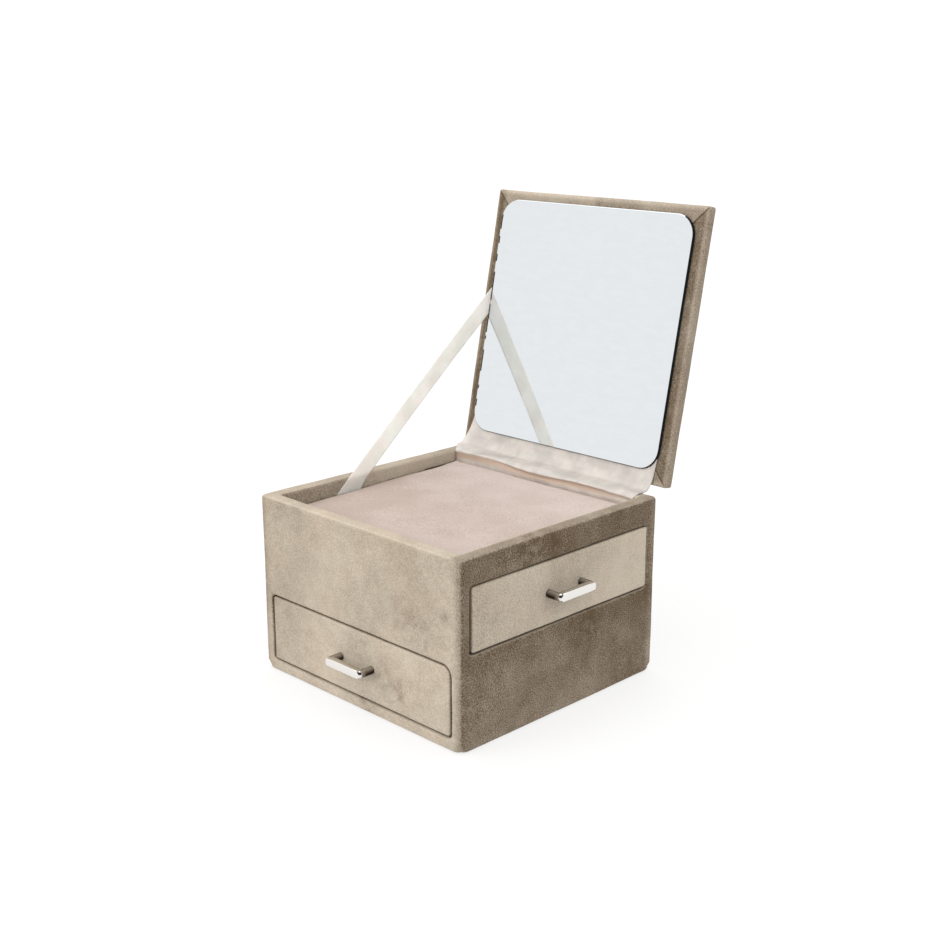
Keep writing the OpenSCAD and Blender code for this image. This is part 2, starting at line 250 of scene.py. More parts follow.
def bridge(faces, loop_a, loop_b):
    """Quads between two closed loops of the same length."""
    count = len(loop_a)
    for i in range(count):
        k = (i + 1) % count
        faces.append((loop_a[i], loop_a[k], loop_b[k], loop_b[i]))


class Slab:
    """A flat body with rounded corners and edges: a grid on each face, and loops round its edge.

    Each loop is (inset from the outline, height). With no bottom face it is an open cap.
    """

    def __init__(self, half_x, half_y, corner, step, ends=(), inset=3 * MM):
        self.half_x, self.half_y, self.inset = half_x, half_y, inset
        self.corners = corner if isinstance(corner, tuple) else (corner,) * 4
        self.xs = stops(half_x - inset, step, ends=ends)
        self.ys = stops(half_y - inset, step, ends=ends)
        self.walk = boundary(self.xs, self.ys)
        self.verts, self.faces = [], []

    def face(self, height):
        """A flat grid; returns its edge as a loop."""
        start = len(self.verts)
        wide = len(self.xs)
        self.verts += [Vector((x, y, height)) for y in self.ys for x in self.xs]
        for j in range(len(self.ys) - 1):
            for i in range(wide - 1):
                a = start + j * wide + i
                self.faces.append((a, a + 1, a + wide + 1, a + wide))
        return [start + j * wide + i for i, j in self.walk]

    def loop(self, inset, height):
        """One loop round the body."""
        start = len(self.verts)
        half_x, half_y = self.half_x - inset, self.half_y - inset
        grow_x = half_x / (self.half_x - self.inset)
        grow_y = half_y / (self.half_y - self.inset)
        for i, j in self.walk:
            x, y = self.xs[i] * grow_x, self.ys[j] * grow_y
            radius = max(corner_radius(self.corners, x, y) - inset, 0.02 * MM)
            x, y = on_rounded(x, y, half_x, half_y, radius)
            self.verts.append(Vector((x, y, height)))
        return list(range(start, len(self.verts)))

    def build(self, place, sections, top, bottom=None):
        """Placed points, and faces: a top, loops at the sections, and a bottom if it has a height."""
        last = self.face(top)
        for inset, height in sections:
            here = self.loop(inset, height)
            bridge(self.faces, last, here)
            last = here
        if bottom is not None:
            bridge(self.faces, last, self.face(bottom))
        return [place(v) for v in self.verts], self.faces


def slab_sections(thick, edge, parts=5, extra=()):
    """Loops from z = thick down to z = 0, both edges rounded, with extra insets on the faces."""
    down = [(i, thick - d) for i, d in arc(edge, parts)]
    up = [(i, d) for i, d in reversed(arc(edge, parts))]
    return [*((i, thick) for i in extra), *down, *up, *((i, 0.0) for i in reversed(extra))]


def plate(name, slab, thick, place, material, body, node):
    """Plate for a CAD one, its corners rounded to stay inside the velvet."""
    shape = slab.build(place, slab_sections(thick, 0.3 * MM, 3), thick, 0.0)
    make_object(name, shape, material, body, [node])


# ---------- materials

class Nodes:
    """Short way to build a tree of shader nodes."""

    def __init__(self, tree):
        self.tree = tree

    def node(self, kind, inputs=None, **settings):
        """A new node, with values or sockets as inputs."""
        made = self.tree.nodes.new("ShaderNode" + kind)
        for key, value in settings.items():
            setattr(made, key, value)
        for key, value in (inputs or {}).items():
            self.feed(made.inputs[key], value)
        return made

    def feed(self, socket, value):
        """Links a socket to an input, or sets the input's own value."""
        if isinstance(value, bpy.types.NodeSocket):
            self.tree.links.new(value, socket)
        else:
            socket.default_value = value

    def math(self, operation, a, b):
        return self.node("Math", {0: a, 1: b}, operation=operation).outputs[0]

    def remap(self, value, low, high, to_low=0.0, to_high=1.0):
        """Smooth change from to_low at low to to_high at high."""
        inputs = {"Value": value, "From Min": low, "From Max": high, "To Min": to_low, "To Max": to_high}
        return self.node("MapRange", inputs, interpolation_type="SMOOTHSTEP").outputs[0]

    def mix(self, share, a, b, blend="MIX"):
        """Colour a at share 0, and b at share 1."""
        inputs = {0: share, 6: a, 7: b}
        return self.node("Mix", inputs, data_type="RGBA", blend_type=blend).outputs[2]


class Shader(Nodes):
    """One node material round the Principled shader."""

    def __init__(self, name):
        self.material = bpy.data.materials.new(name)
        self.material.use_nodes = True
        super().__init__(self.material.node_tree)
        self.bsdf = self.tree.nodes["Principled BSDF"]

    def set(self, **values):
        """Principled inputs, with _ for a space."""
        for key, value in values.items():
            self.feed(self.bsdf.inputs[key.replace("_", " ")], value)

    def noise(self, size, detail=2.0, rough=0.5, vector=None, distortion=0.0):
        """Noise about 0.5, with features of a size in metres."""
        inputs = {"Scale": 1 / size, "Detail": detail, "Roughness": rough, "Distortion": distortion}
        inputs["Vector"] = vector or self.node("TexCoord").outputs["Object"]
        return self.node("TexNoise", inputs).outputs["Fac"]

    def swing(self, size, detail, rough=0.5, spread=0.2):
        """Noise from -0.5 to 0.5; a smaller spread gives more contrast."""
        return self.remap(self.noise(size, detail, rough), 0.5 - spread, 0.5 + spread, -0.5, 0.5)

    def attribute(self, name):
        return self.node("Attribute", attribute_name=name).outputs["Fac"]

    def total(self, value, *parts):
        """The value plus each (part, weight) product, kept from 0 to 1."""
        for part, weight in parts:
            value = self.math("ADD", value, self.math("MULTIPLY", part, weight))
        return self.node("Clamp", {"Value": value}).outputs[0]

    def bump(self, layers):
        """Chained bumps, from (height, depth in millimetres) layers."""
        normal = None
        for height, depth in layers:
            inputs = {"Height": height, "Distance": depth * MM, "Strength": 1.0}
            if normal is not None:
                inputs["Normal"] = normal
            normal = self.node("Bump", inputs).outputs[0]
        self.set(Normal=normal)


def colour(red, green, blue):
    """Scene-linear colour of an sRGB colour from 0 to 255."""

    def linear(c):
        c /= 255
        return c / 12.92 if c <= 0.04045 else ((c + 0.055) / 1.055) ** 2.4

    return (linear(red), linear(green), linear(blue), 1.0)


def velvet(name, light, dark):
    """Short pile. A point attribute says how far the pile leans away and so looks dark; it also carries
    painted shade in gaps, creases, openings and turned edges, and painted highlights on rounded edges.

    The attribute brushed marks where fingers have left darker strokes.
    """
    s = Shader(name)
    nap_and_shading = s.attribute("nap_and_shading")
    strokes = s.remap(s.noise(6 * MM, 3, 0.6, distortion=0.6), 0.36, 0.78)
    strokes = s.math("MULTIPLY", strokes, s.attribute("brushed"))
    # The grain is coarser where the pile leans away and where shade is painted, and on what faces right
    facing = s.node("SeparateXYZ", {0: s.node("NewGeometry").outputs["Normal"]}).outputs[0]
    coarse = s.math("MULTIPLY", s.math("MAXIMUM", facing, 0.0), 0.16)
    depth = s.math("ADD", s.math("MULTIPLY", nap_and_shading, 0.10), s.math("ADD", coarse, 0.26))
    patches, mottle = s.swing(34 * MM, 3), s.swing(8 * MM, 2, spread=0.25)
    grain = s.swing(0.7 * MM, 2, 0.65)
    shade = s.total(nap_and_shading, (patches, 0.15), (mottle, 0.10), (strokes, 0.42), (grain, depth))
    tint = s.mix(shade, light, dark)
    warm = s.remap(s.noise(22 * MM, 3), 0.35, 0.65)
    tint = s.mix(0.5, tint, s.mix(warm, (1.02, 0.99, 0.98, 1), (0.98, 1.01, 1.0, 1)), blend="MULTIPLY")
    s.set(Base_Color=tint, Roughness=0.92, Sheen_Weight=0.22, Sheen_Roughness=0.45, Sheen_Tint=light)
    s.set(Specular_IOR_Level=0.12)
    s.bump([(s.noise(5 * MM, 3), 0.25), (s.noise(0.8 * MM, 2, 0.6), 0.14)])
    return s.material


def suede(name, light, dark):
    """Fine suede, a little lighter where its point attribute is low."""
    s = Shader(name)
    fibres = s.swing(0.9 * MM, 2, 0.6)
    share = s.total(s.attribute("nap_and_shading"), (s.swing(24 * MM, 4, 0.55), 0.35), (fibres, 0.6))
    s.set(Base_Color=s.mix(share, light, dark), Roughness=0.95, Sheen_Weight=0.25, Sheen_Roughness=0.5)
    s.set(Sheen_Tint=light, Specular_IOR_Level=0.12)
    s.bump([(fibres, 0.04), (s.noise(9 * MM, 2), 0.15)])
    return s.material


def satin(name, light, dark, thin):
    """Satin: a soft lustre, faint streaks along the threads, and a share of light let through.

    The point attribute fold says how far a point lies in the tan shadow of a fold.
    """
    s = Shader(name)
    uv = s.node("TexCoord").outputs["UV"]
    along = s.node("Mapping", {"Vector": uv, "Scale": (26.0, 1.5, 1.0)}).outputs[0]
    streaks = s.noise(1.0, 3, 0.6, vector=along)
    clouds = s.noise(11 * MM, 3, 0.55)
    share = s.total(0.0, (streaks, 0.25), (clouds, 0.75))
    tint = s.mix(s.remap(share, 0.35, 0.65), light, dark)
    blush = s.remap(s.noise(9 * MM, 2, 0.5, distortion=0.8), 0.35, 0.65)
    tint = s.mix(0.6, tint, s.mix(blush, (1.0, 0.965, 0.95, 1), (0.965, 0.985, 0.965, 1)), blend="MULTIPLY")
    tint = s.mix(s.attribute("fold"), tint, colour(193, 170, 152))
    s.set(Base_Color=tint, Roughness=0.34)
    s.set(Sheen_Weight=0.2, Sheen_Roughness=0.3, Specular_IOR_Level=0.55)
    crinkle = s.noise(3.5 * MM, 3, 0.6, distortion=0.5)
    s.bump([(streaks, 0.008), (crinkle, 0.10)])
    through = s.node("BsdfTranslucent", {"Color": tint}).outputs[0]
    both = s.node("MixShader", {0: thin, 1: s.bsdf.outputs[0], 2: through}).outputs[0]
    s.tree.links.new(both, s.tree.nodes["Material Output"].inputs["Surface"])
    return s.material


def metal(name, tint, rough, scratches):
    """Plated metal, painted dark brown by a point attribute as painted shade and a painted reflection of the
    dark velvet on the handle's posts. Scratches are in millimetres.
    """
    s = Shader(name)
    smear = s.noise(3 * MM, 4, 0.6)
    s.set(Base_Color=s.mix(s.attribute("painted_post_shade"), tint, colour(54, 41, 30)), Metallic=1.0)
    s.set(Roughness=s.remap(smear, 0.3, 0.7, rough * 0.6, rough * 1.5))
    s.bump([(s.noise(0.4 * MM, 3, 0.7), scratches)])
    return s.material


def mirror_silver(name):
    """Silvered glass: a cool tint, very slightly uneven."""
    s = Shader(name)
    place = s.node("TexCoord").outputs["Object"]
    sideways = s.node("Mapping", {"Vector": place, "Scale": (0.35, 1.0, 1.0)}).outputs[0]
    cloud = s.noise(3.5 * MM, 4, 0.6, vector=sideways)
    tint = s.mix(s.remap(cloud, 0.35, 0.65), colour(230, 234, 237), colour(232, 236, 238))
    s.set(Base_Color=tint, Metallic=1.0, Roughness=0.04)
    s.bump([(s.noise(9 * MM, 2), 0.001)])
    return s.material


def glass_edge(name):
    """Ground edge of the mirror: dark glass with a fine frost."""
    s = Shader(name)
    frost = s.noise(0.6 * MM, 3, 0.6)
    s.set(Base_Color=s.mix(frost, colour(12, 14, 15), colour(34, 37, 38)), Roughness=0.3)
    s.set(Specular_IOR_Level=0.1)
    s.bump([(frost, 0.01)])
    return s.material


def card(name, light, dark):
    """Greyboard, fibreboard or felt: a speckle of fibres."""
    s = Shader(name)
    fibres = s.noise(1.2 * MM, 5, 0.75)
    clouds = s.noise(14 * MM, 3)
    share = s.total(0.0, (fibres, 0.7), (clouds, 0.3))
    s.set(Base_Color=s.mix(s.remap(share, 0.35, 0.65), light, dark), Roughness=0.85)
    s.bump([(fibres, 0.04)])
    return s.material


velvet_cloth = velvet("velvet", colour(186, 174, 158), colour(84, 68, 50))
suede_cloth = suede("blush_suede", colour(193, 180, 173), colour(166, 150, 141))
satin_cloth = satin("cream_satin", colour(220, 213, 206), colour(197, 192, 187), 0.2)
ribbon_cloth = satin("white_satin", colour(253, 252, 250), colour(246, 245, 241), 0.5)
chrome = metal("polished_chrome", colour(232, 229, 225), 0.05, 0.001)
steel = metal("plated_steel", colour(190, 190, 192), 0.25, 0.01)
silver = mirror_silver("mirror_silver")
ground_edge = glass_edge("mirror_edge")
greyboard = card("greyboard", colour(176, 164, 146), colour(150, 137, 118))
fibreboard = card("fibreboard", colour(184, 156, 120), colour(150, 122, 90))
flocked = card("flocked_card", colour(92, 84, 75), colour(66, 60, 54))
felt = card("base_felt", colour(118, 106, 94), colour(92, 82, 72))


# ---------- the case's velvet

PUFF = 0.45 * MM
EDGE_R = 2.1 * MM
RIM_OUT_R, RIM_IN_R = 1.7 * MM, 1.4 * MM
FOOT_R, FOOT_Z = 1.8 * MM, 0.25 * MM
CORNER_BALL = 4 * MM
MOUTH_R, MOUTH_FRAME, MOUTH_DEEP = 1.5 * MM, 3.2 * MM, 14 * MM
SIDE_MOUTH_SHIFT = 0.35 * MM
GRID = 1.6 * MM
# Corner radii of the two drawer fronts: lower left, lower right, upper right, upper left
FRONT_CORNERS = (1.4 * MM, 2.2 * MM, 5.0 * MM, 1.4 * MM)
SIDE_CORNERS = (1.2 * MM, 2.2 * MM, 1.4 * MM, 1.2 * MM)


def face_of(drawer):
    """Middle height, half width, half height and depth of a drawer's front."""
    low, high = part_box(drawer + "_face_velvet")
    size = high - low
    return (low.z + high.z) / 2, max(size.x, size.y) / 2, size.z / 2, min(size.x, size.y)


def mouth_of(drawer):
    """Middle height, half width and half height of a drawer's opening."""
    middle, half_w, half_h, deep = face_of(drawer)
    return middle, half_w + FRONT_GAP, half_h + FRONT_GAP


# The drawers' openings, by side of the case
MOUTHS = {0: mouth_of("front_drawer"), 1: mouth_of("side_drawer")}
# Half lengths of the straight part of the case's front, right, rear and left sides
HALVES = [CASE_X - EDGE_R, CASE_Y - EDGE_R] * 2


def outline_point(side, share, half_x, half_y, radius):
    """A point on a straight side of a rounded rectangle, at a share from -1 to 1."""
    x, y = share * (half_x - radius), share * (half_y - radius)
    return [(x, -half_y), (half_x, y), (-x, half_y), (-half_x, -y)][side]


def outline_corner(side, share, half_x, half_y, radius):
    """A point on the rounded corner after a side, at a share from 0 to 1."""
    centre = [(1, -1), (1, 1), (-1, 1), (-1, -1)][side]
    turn = math.radians(-90 + 90 * side + 90 * share)
    x = centre[0] * (half_x - radius) + radius * math.cos(turn)
    y = centre[1] * (half_y - radius) + radius * math.sin(turn)
    return x, y


def case_columns():
    """Columns of the grid round the case: (rule for a point, side, share)."""
    columns = []
    for side, half in enumerate(HALVES):
        frame_ends = [MOUTHS[side][1] + MOUTH_FRAME] if side in MOUTHS else []
        places = stops(half, GRID, fine=[*frame_ends, *(-end for end in frame_ends)])
        columns += [(outline_point, side, place / half) for place in places]
        columns += [(outline_corner, side, i / 6) for i in range(1, 6)]
    return columns


def case_rows():
    """(inset, height) of the grid's rows, from the foot over the rim into the recess, and which are wall."""
    rim_w = CASE_X - RECESS_X
    rows = [(i - PUFF, FOOT_Z + d) for i, d in arc(FOOT_R, 5)][:-1]
    wall_start = len(rows)
    heights = {FOOT_Z + FOOT_R, RIM_Z - RIM_OUT_R}
    for middle, half_w, half_h in MOUTHS.values():
        heights.update((middle - half_h - MOUTH_FRAME, middle + half_h + MOUTH_FRAME))
    rows += [(-PUFF, height) for height in subdivide(heights, GRID)]
    wall_end = len(rows)
    rows += [(i - PUFF, RIM_Z - d) for i, d in reversed(arc(RIM_OUT_R, 6))][1:]
    rows += [((RIM_OUT_R + rim_w - RIM_IN_R) / 2, RIM_Z)]
    rows += [(rim_w - i, RIM_Z - d) for i, d in arc(RIM_IN_R, 6)]
    inner_top, parts = RIM_Z - RIM_IN_R, 14
    rows += [(rim_w, inner_top - (inner_top - SHELF_TOP) * (i + 1) / parts) for i in range(parts)]
    return rows, range(wall_start, wall_end)


def turn_in(verts, faces, side, loop):
    """Rounds the velvet over into an opening, from the loop round its hole in the grid."""
    middle, half_w, half_h = MOUTHS[side]
    corners = (FRONT_CORNERS, SIDE_CORNERS)[side]
    flat = [(verts[v][side], verts[v].z - middle) for v in loop]
    levels = [(2.2 * MM, 0.0), *arc(MOUTH_R, 6)]
    levels += [(0.0, MOUTH_R + (MOUTH_DEEP - MOUTH_R) * k / 4) for k in (1, 2, 3, 4)]
    for grow, deep in levels:
        a, b = half_w + grow, half_h + grow
        here = list(range(len(verts), len(verts) + len(loop)))
        for u, h in flat:
            radius = corner_radius(corners, u, h) + FRONT_GAP + grow
            u, h = u * (a / (half_w + MOUTH_FRAME)), h * (b / (half_h + MOUTH_FRAME))
            u, h = on_rounded(u, h, a, b, radius)
            if side == 0:
                verts.append(Vector((u, -CASE_Y + deep - PUFF, middle + h)))
            else:
                verts.append(Vector((CASE_X - deep + PUFF, u - SIDE_MOUTH_SHIFT, middle + h)))
        bridge(faces, loop, here)
        loop = here


def case_mesh():
    """Grid over the outside, the rim and the recess's walls, turned into both openings."""
    columns = case_columns()
    rows, wall = case_rows()
    verts, faces, holes = [], [], {}
    wide = len(columns)
    for inset, height in rows:
        radius = max(EDGE_R - inset, 0.9 * MM)
        for rule, side, share in columns:
            x, y = rule(side, share, CASE_X - inset, CASE_Y - inset, radius)
            verts.append(Vector((x, y, height)))
    for side, (middle, half_w, half_h) in MOUTHS.items():
        reach_w, reach_h = half_w + MOUTH_FRAME + 1e-7, half_h + MOUTH_FRAME + 1e-7
        straight = [c for c in range(wide) if columns[c][:2] == (outline_point, side)]
        across = [c for c in straight if abs(columns[c][2] * HALVES[side]) <= reach_w]
        holes[side] = across, [r for r in wall if abs(rows[r][1] - middle) <= reach_h]
    for r in range(len(rows) - 1):
        for c in range(wide):
            k = (c + 1) % wide
            if not any(cs[0] <= c < cs[-1] and rs[0] <= r < rs[-1] for cs, rs in holes.values()):
                faces.append((r * wide + c, r * wide + k, (r + 1) * wide + k, (r + 1) * wide + c))
    for side, (cs, rs) in holes.items():
        turn_in(verts, faces, side, [rs[j] * wide + cs[i] for i, j in boundary(cs, rs)])
    return verts, faces


def case_cover():
    """Velvet over the case, with the marks of fingers on its front and right side."""
    piece = make_object("case_velvet_cover", case_mesh(), velvet_cloth, "case", ["case_velvet"])
    round_feet(piece)
    ripple(piece, [(38, 0.22), (9, 0.08), (3, 0.05)], seed=3.1)
    paint(piece, "nap_and_shading", case_nap_and_shading)
    # Shares of the case's sizes, and a radius in millimetres
    marks = [(0.86, -1, 0.70, 3.5), (0.55, -1, 0.55, 12), (0.10, -1, 0.03, 12)]
    marks += [(1, 0.25, 0.42, 10), (1, -0.3, 0.94, 18)]
    spots = [(Vector((x * CASE_X, y * CASE_Y, z * RIM_Z)), radius * MM) for x, y, z, radius in marks]
    paint(piece, "brushed", brush_marks(spots))
    solidify(piece, PILE)


def round_feet(piece):
    """Rounds the four lowest corners of the case like balls."""
    core_x, core_y = CASE_X - CORNER_BALL, CASE_Y - CORNER_BALL
    for v in piece.data.vertices:
        past = Vector((abs(v.co.x) - core_x, abs(v.co.y) - core_y))
        low = CORNER_BALL - v.co.z
        if min(past) <= 0 or low <= 0:
            continue
        reach = math.sqrt(max(0.0, CORNER_BALL ** 2 - low ** 2)) + PUFF
        share = ramp(0.0, 1.5 * MM, min(past))
        if past.length > reach:
            past *= 1 + share * (reach / past.length - 1)
            v.co.x = math.copysign(core_x + past.x, v.co.x)
            v.co.y = math.copysign(core_y + past.y, v.co.y)
    piece.data.update()


def case_nap_and_shading(point, normal):
    """Dark on the sides, light on the front and the rim. Painted shade inside the openings and on the recess
    walls below the pad's top, painted light making the recess walls lighter towards the rear, and a painted
    highlight on the rim's rounded edges.
    """
    height = point.z / RIM_Z
    deep = min(CASE_X - abs(point.x), CASE_Y - abs(point.y))
    if deep > CASE_X - RECESS_X - 0.4 * MM and SHELF_TOP < point.z < RIM_Z - 0.6 * MM:
        # Painted shade on the recess walls below the pad's top, in the gap beside the pad.
        if point.z < pad_top(point.y) - 0.7 * MM:
            return 1.0
        # Painted light: the recess walls grow lighter towards the rear.
        return 0.52 - 0.52 * ramp(-0.9, 0.6, point.y / CASE_Y)
    # Painted shade inside the drawer openings.
    if deep > 1.3 * MM and 4 * MM < point.z < SHELF_TOP:
        return 0.75
    ways = (normal.x, -normal.x, normal.y, normal.z if point.z > RIM_Z / 2 else 0.0)
    right, left, back, rim = (ramp(0.35, 0.85, way) for way in ways)
    flat = ramp(0.93, 0.995, normal.z)
    upright_edge = ramp(0.90, 0.97, abs(point.y) / CASE_Y) * (0.2 if point.y > 0 else -0.05)
    front = 0.22 + 0.12 * height + 0.10 * ramp(0.35, 0.95, -point.x / CASE_X)
    front += (0.17 if point.x < 0 else 0.27) * ramp(0.93, 0.99, abs(point.x) / CASE_X)
    on_side = 0.72 + 0.14 * height + 0.08 * ramp(0.0, 0.8, point.y / CASE_Y)
    on_side += 0.12 * bump_at(height, 0.475, 0.09)
    nap_and_shading = max(right * (on_side - upright_edge), left * 0.64, back * 0.56, front)
    on_right = ramp(RECESS_X, RECESS_X + 2 * MM, point.x)
    on_left = ramp(RECESS_X, RECESS_X + 2 * MM, -point.x)
    # Painted highlight: the rim's rounded edges are lighter than its flat top.
    rim_nap_and_highlight = 0.15 + 0.07 * flat + (0.40 - 0.02 * flat) * on_right + 0.10 * on_left
    return nap_and_shading + rim * (rim_nap_and_highlight - nap_and_shading)


def brush_marks(spots):
    """Rule for the attribute brushed, from (place, radius) spots."""

    def rule(point, normal):
        return max(bump_at((point - place).length, 0.0, radius) for place, radius in spots)

    return rule


def flat_base(name, node, set_in, radius, material):
    """Flat plate in place of a CAD one under the box."""
    low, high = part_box(node)
    slab = Slab(CASE_X - set_in, CASE_Y - set_in, radius, 6 * MM, inset=radius + 1 * MM)
    up = Vector((0, 0, low.z))
    plate(name, slab, high.z - low.z, lambda point: point + up, material, "case", node)


case_cover()
flat_base("base_felt", "base_sheet", 1.8 * MM, CORNER_BALL, felt)
flat_base("base_fibreboard", "base_board", BOARD_IN, 6 * MM, fibreboard)


# ---------- drawers

FACE_EDGE = 1.3 * MM
SIT_UP, SIT_BACK = 0.2 * MM, 0.25 * MM
FRONT_FACE_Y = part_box("front_drawer_face_velvet")[0].y
SIDE_FACE_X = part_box("side_drawer_face_velvet")[1].x
HANDLE_THICK = 4 * MM
OUTER_BEND, INNER_BEND = 2.1 * MM, 0.4 * MM
POST_ROUND, BAR_ROUND = 2.15 * MM, 0.6 * MM


def at_front(point):
    """From a front's own frame (along, up, out of it) to the lower drawer."""
    return Vector((point.x, FRONT_FACE_Y - point.z, MOUTHS[0][0] + point.y))


def at_side(point):
    """From a front's own frame to the upper drawer."""
    return Vector((SIDE_FACE_X + point.z, point.x, MOUTHS[1][0] + point.y))


def outwards(place):
    """The way that a drawer's front faces."""
    return place(Vector((0, 0, 1))) - place(Vector((0, 0, 0)))


def drawer_front(drawer, place, sit, corners, half_w, half_h, deep, marks):
    """Velvet wrapped over the drawer's front board."""
    slab = Slab(half_w, half_h, corners, 1.5 * MM, ends=(0.5 * MM, 1.2 * MM, 2.2 * MM))
    sections = [(2.2 * MM, 0.0), *((i, -d) for i, d in arc(FACE_EDGE, 6))]
    sections += [(0.0, -deep * 0.5), (0.0, -deep)]
    shape = slab.build(lambda v: place(v + sit), sections, 0.0)
    cad = [drawer + "_face_velvet"]
    piece = make_object(drawer + "_front_cover", shape, velvet_cloth, drawer, cad)
    ripple(piece, [(30, 0.18), (8, 0.06)], seed=7.7)
    out = outwards(place)

    def nap_and_shading(point, normal):
        """Darker towards the lower drawer's left end and the upper one's front end, with painted shade where
        the velvet turns round the edge into the gap.
        """
        left = ramp(0.2, 0.9, -point.x / CASE_X)
        rear = ramp(0.0, 0.9, point.y / CASE_Y)
        turned_shade = ramp(0.8, 0.2, normal.dot(out))
        front = ramp(0.2, 0.9, -point.y / CASE_Y) if out.x else 0.0
        return 0.20 + 0.18 * left + 0.08 * front - 0.10 * rear + 0.45 * turned_shade

    paint(piece, "nap_and_shading", nap_and_shading)
    spots = [(place(Vector((x * MM, y * MM, 0))), radius * MM) for x, y, radius in marks]
    paint(piece, "brushed", brush_marks(spots))
    solidify(piece, PILE)


def face_board(drawer, place, sit, corners, half_w, half_h, deep):
    """The board under that velvet."""
    rounded = tuple(max(radius - BOARD_IN, 0.5 * MM) for radius in corners)
    slab = Slab(half_w - BOARD_IN, half_h - BOARD_IN, rounded, 4 * MM, inset=5 * MM)
    back = sit - Vector((0, 0, deep))
    name, node = drawer + "_face_fibreboard", drawer + "_face_board"
    plate(name, slab, deep - BOARD_IN, lambda v: place(v + back), fibreboard, drawer, node)


def sweep(stations, wide, high):
    """Closed tube in the (x, z) plane through stations of (middle, way across, corner radius)."""
    verts, faces = [], []
    for middle, side, radius in stations:
        section = rounded_section(wide, high, radius)
        verts += [middle + side * s + Vector((0, u, 0)) for s, u in section]
    count = len(section)
    for start in range(0, len(verts) - count, count):
        here = list(range(start, start + count))
        bridge(faces, here, [v + count for v in here])
    faces.append(tuple(range(count)))
    faces.append(tuple(range(len(verts) - count, len(verts)))[::-1])
    return verts, faces


def rounded_section(wide, high, radius, parts=5):
    """Outline of a rounded rectangle, as offsets from its middle."""
    points = []
    for side in range(4):
        points += [outline_corner(side, i / parts, wide / 2, high / 2, radius) for i in range(parts + 1)]
    return points


def handle_half(long, out):
    """Stations of the handle's left half, from the post's foot."""
    left = -long / 2
    outer = Vector((left + OUTER_BEND, 0, out - OUTER_BEND))
    inner = Vector((left + HANDLE_THICK + INNER_BEND, 0, out - HANDLE_THICK - INNER_BEND))
    half = []
    for z in (-0.6 * MM, 1.5 * MM, 3.5 * MM, inner.z - 0.3 * MM):
        half.append((Vector((left + HANDLE_THICK / 2, 0, z)), Vector((-1, 0, 0)), POST_ROUND))
    for i in range(11):
        turn = math.pi / 2 * i / 10
        way = Vector((-math.cos(turn), 0, math.sin(turn)))
        a, b = outer + way * OUTER_BEND, inner + way * INNER_BEND
        radius = POST_ROUND + (BAR_ROUND - POST_ROUND) * ramp(0.7, 1.0, i / 10)
        half.append(((a + b) / 2, (a - b) / HANDLE_THICK, radius))
    for x in (left + HANDLE_THICK + 2.5 * MM, left / 3):
        half.append((Vector((x, 0, out - HANDLE_THICK / 2)), Vector((0, 0, 1)), BAR_ROUND))
    return half


def pull_handle(drawer, place):
    """Square bar on two nearly round posts, bent from one piece."""
    low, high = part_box(drawer + "_handle")
    size = high - low
    half = handle_half(max(size.x, size.y), min(size.x, size.y))
    flip = Vector((-1, 1, 1))
    whole = half + [(p * flip, side * flip, radius) for p, side, radius in reversed(half)]
    verts, faces = sweep(whole, HANDLE_THICK, size.z)
    shape, cad = ([place(v) for v in verts], faces), [drawer + "_handle"]
    piece = make_object(drawer + "_pull", shape, chrome, drawer, cad)
    face, out = place(Vector((0, 0, 0))), outwards(place)

    def painted_post_shade(point, normal):
        """How much of a post lies in the shade of the bar."""
        return ramp(9.4 * MM, 6.4 * MM, (point - face).dot(out)) * (1 - 0.7 * max(0, normal.z))

    paint(piece, "painted_post_shade", painted_post_shade)


def soft_lining(name):
    """Suede pressed into the drawer, with rounded corners and a rounded lip."""
    low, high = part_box(name + "_lining")
    middle, half = (low + high) / 2, (high - low) / 2
    cloth, fillet = 0.8 * MM, 1.6 * MM
    floor_z = low.z + cloth
    slab = Slab(half.x, half.y, 2.2 * MM, 3 * MM, inset=5 * MM)
    sections = [(3.4 * MM, floor_z), *((cloth + i, floor_z + d) for i, d in arc(fillet, 5))]
    wall = high.z - 0.3 * MM - floor_z - fillet
    sections += [(cloth, floor_z + fillet + wall * i / 6) for i in range(1, 7)]
    sections += [(0.7 * MM, high.z - 0.1 * MM), (0.4 * MM, high.z), (0.1 * MM, high.z - 0.1 * MM)]
    sections += [(0.0, high.z - 0.3 * MM), (0.0, low.z + 1 * MM), (0.8 * MM, low.z)]
    centre = Vector((middle.x, middle.y, 0))
    shape = slab.build(lambda v: v + centre, sections, floor_z, low.z)
    cad = [name + "_lining"]
    piece = make_object(name + "_soft_lining", shape, suede_cloth, name, cad)

    def inner(point):
        """1 on the side that is seen, 0 on the side against the box."""
        across = min(half.x - abs(point.x - middle.x), half.y - abs(point.y - middle.y))
        return ramp(0.4 * MM, 0.8 * MM, min(across, point.z - low.z))

    ripple(piece, [(22, 0.5), (7, 0.12)], seed=2.2, keep=inner)
    paint(piece, "nap_and_shading", lambda point, normal: 0.55)


